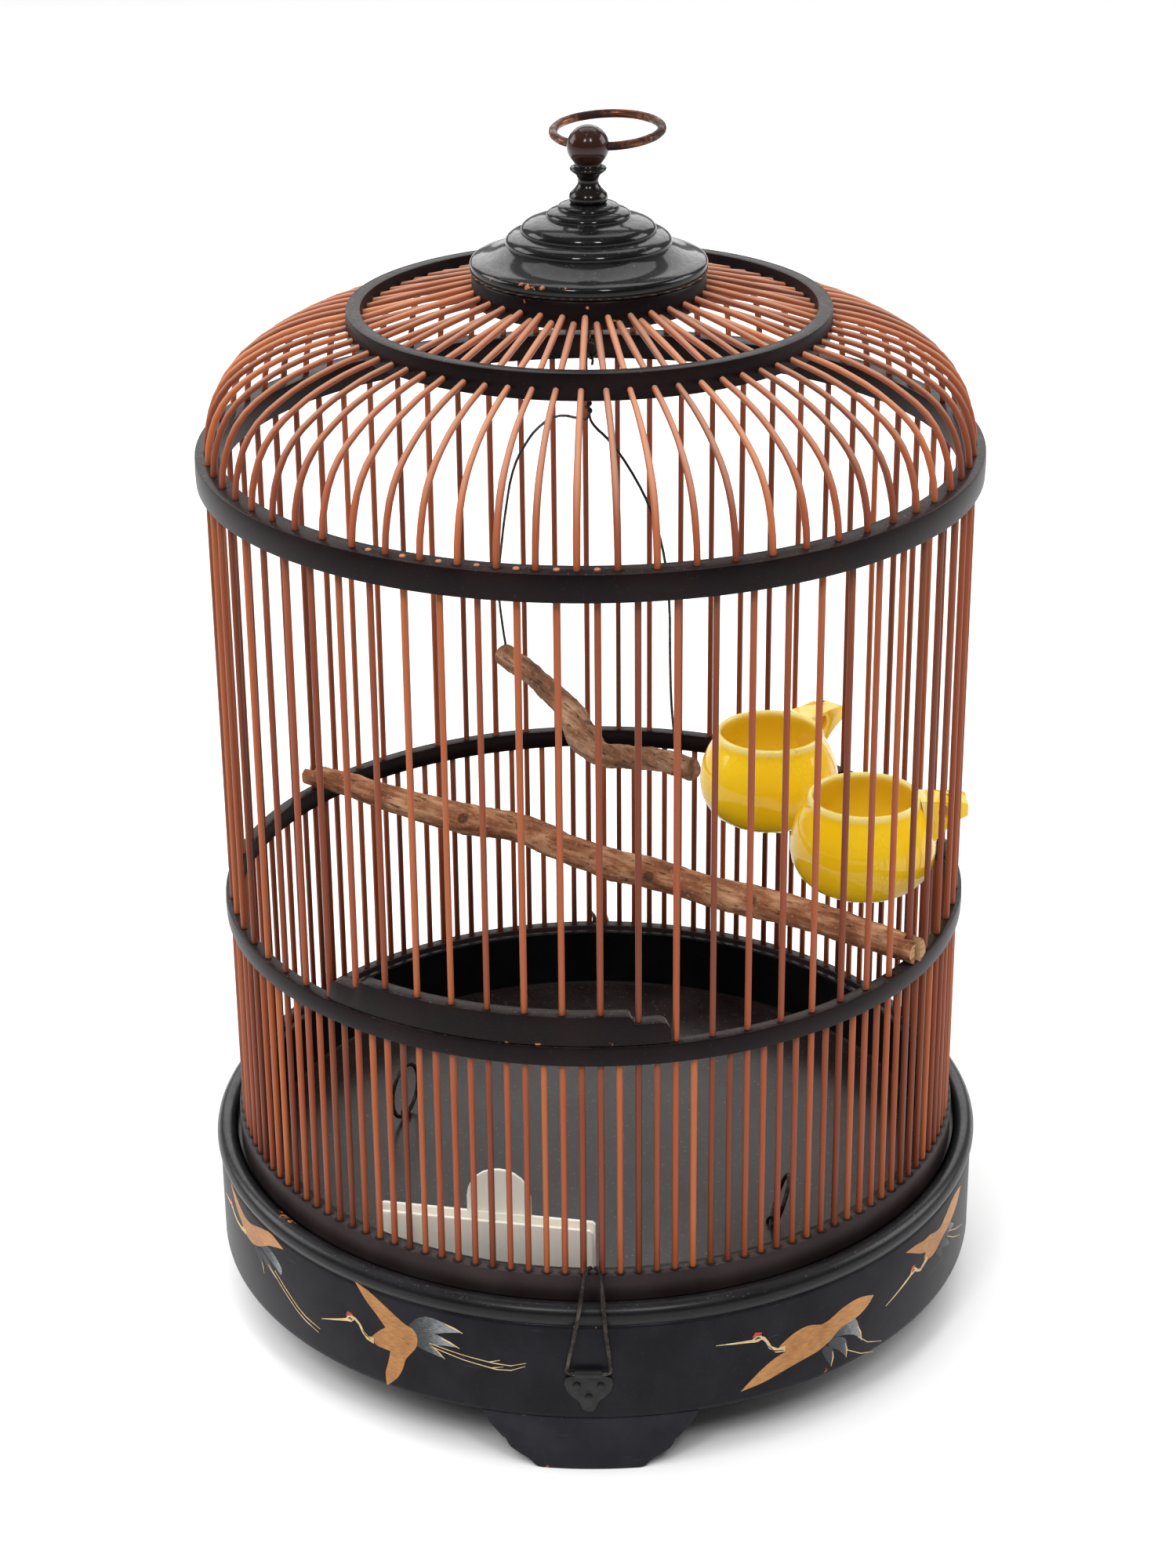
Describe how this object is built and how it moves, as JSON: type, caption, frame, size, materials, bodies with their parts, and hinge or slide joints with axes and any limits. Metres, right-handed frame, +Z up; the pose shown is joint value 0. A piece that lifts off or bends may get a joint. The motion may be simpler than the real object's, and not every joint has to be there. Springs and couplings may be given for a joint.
{
  "type": "bird cage",
  "caption": "Round bamboo bird cage on a footed lacquered base, with a sliding bar door, domed top, hanging ring, tray, swing, branch perch, hooked feeding cups and a clip.",
  "frame": {"origin": "centre of the footprint, on the surface the feet stand on", "axes": "+Z up, -Y to the front with the door and the latch in view, +X to the right as seen from the front"},
  "size_m": [0.336, 0.342, 0.5132],
  "materials": {
    "black_lacquer": "glossy black lacquer",
    "hoop_lacquer": "satin dark brown lacquer",
    "bamboo": "satin red-brown bamboo",
    "bark": "rough bark",
    "copper": "antique copper",
    "dark_wire": "dark worn wire",
    "glaze": "glossy yellow glaze",
    "clip_plastic": "milky white"
  },
  "bodies": {
    "root": {"foot_1": "black_lacquer", "foot_2": "black_lacquer", "foot_3": "black_lacquer", "base_wall": "black_lacquer", "base_rim": "black_lacquer", "base_floor": "black_lacquer", "tray_wall": "black_lacquer", "tray_floor": "black_lacquer", "staple_left": "dark_wire", "staple_right": "dark_wire", "latch_plate_front": "dark_wire", "latch_plate_rear": "dark_wire", "latch_nail_front_1": "dark_wire", "latch_nail_front_2": "dark_wire", "latch_nail_front_3": "dark_wire", "latch_nail_rear_1": "dark_wire", "latch_nail_rear_2": "dark_wire", "latch_nail_rear_3": "dark_wire", "bottom_hoop": "hoop_lacquer", "waist_hoop": "hoop_lacquer", "shoulder_hoop": "hoop_lacquer", "dome_hoop": "hoop_lacquer", "wall_bars_1": "bamboo", "wall_bars_2": "bamboo", "wall_bars_3": "bamboo", "wall_bars_4": "bamboo", "wall_bars_5": "bamboo", "wall_bars_6": "bamboo", "wall_bars_7": "bamboo", "wall_bars_8": "bamboo", "wall_bars_9": "bamboo", "wall_bars_10": "bamboo", "fence_bars_under_door": "bamboo", "dome_bars_1": "bamboo", "dome_bars_2": "bamboo", "dome_bars_3": "bamboo", "dome_bars_4": "bamboo", "dome_bars_5": "bamboo", "dome_bars_6": "bamboo", "crown_collar": "hoop_lacquer", "crown_cap": "black_lacquer", "finial": "hoop_lacquer", "swing_eye": "dark_wire", "clip_jaw_back": "clip_plastic", "clip_pin": "dark_wire", "clip_spring": "dark_wire"},
    "door": {"door_rail": "hoop_lacquer", "door_bars": "bamboo"},
    "ring": {"hanging_ring": "copper"},
    "swing": {"swing_wire": "dark_wire", "swing_perch": "bark"},
    "front_bail": {"latch_bail_front": "dark_wire"},
    "rear_bail": {"latch_bail_rear": "dark_wire"},
    "left_pull": {"ring_pull_left": "dark_wire"},
    "right_pull": {"ring_pull_right": "dark_wire"},
    "front_cup": {"cup_front": "glaze"},
    "rear_cup": {"cup_rear": "glaze"},
    "perch": {"long_perch": "bark"},
    "clip_front": {"clip_jaw_front": "clip_plastic"}
  },
  "joints": [
    {"name": "door_lift", "type": "slide", "parent": "root", "child": "door", "axis": [0, 0, 1], "range_m": [0, 0.168]},
    {"name": "ring_turn", "type": "hinge", "parent": "root", "child": "ring", "pos_m": [0, 0, 0.5048], "axis": [0.9323, -0.3616, 0], "range_deg": [-45, 210]},
    {"name": "swing_sway", "type": "hinge", "parent": "root", "child": "swing", "pos_m": [0, 0, 0.421], "axis": [0.518, -0.8554, 0], "range_deg": [-25, 25]},
    {"name": "front_bail_turn", "type": "hinge", "parent": "root", "child": "front_bail", "pos_m": [-0.00354, -0.16896, 0.0485], "axis": [0.9998, -0.0209, 0], "range_deg": [0, 150]},
    {"name": "rear_bail_turn", "type": "hinge", "parent": "root", "child": "rear_bail", "pos_m": [0.00354, 0.16896, 0.0485], "axis": [-0.9998, 0.0209, 0], "range_deg": [0, 150]},
    {"name": "left_pull_turn", "type": "hinge", "parent": "root", "child": "left_pull", "pos_m": [-0.08618, 0.02101, 0.0582], "axis": [0.4226, 0.9063, 0], "range_deg": [-85, 85]},
    {"name": "right_pull_turn", "type": "hinge", "parent": "root", "child": "right_pull", "pos_m": [0.07531, -0.07172, 0.0582], "axis": [0.0698, 0.9976, 0], "range_deg": [-103, 67]},
    {"name": "front_cup_slide", "type": "slide", "parent": "root", "child": "front_cup", "axis": [0, 0, 1], "range_m": [-0.02, 0.03]},
    {"name": "rear_cup_slide", "type": "slide", "parent": "root", "child": "rear_cup", "axis": [0, 0, 1], "range_m": [-0.015, 0.03]},
    {"name": "perch_lift", "type": "slide", "parent": "root", "child": "perch", "axis": [0, 0, 1], "range_m": [0, 0.045]},
    {"name": "clip_open", "type": "hinge", "parent": "root", "child": "clip_front", "pos_m": [-0.04542, -0.11355, 0.0773], "axis": [-0.9888, 0.1495, 0], "range_deg": [0, 8], "stiffness_Nm_per_rad": 0.03, "springref_deg": -20.05}
  ]
}
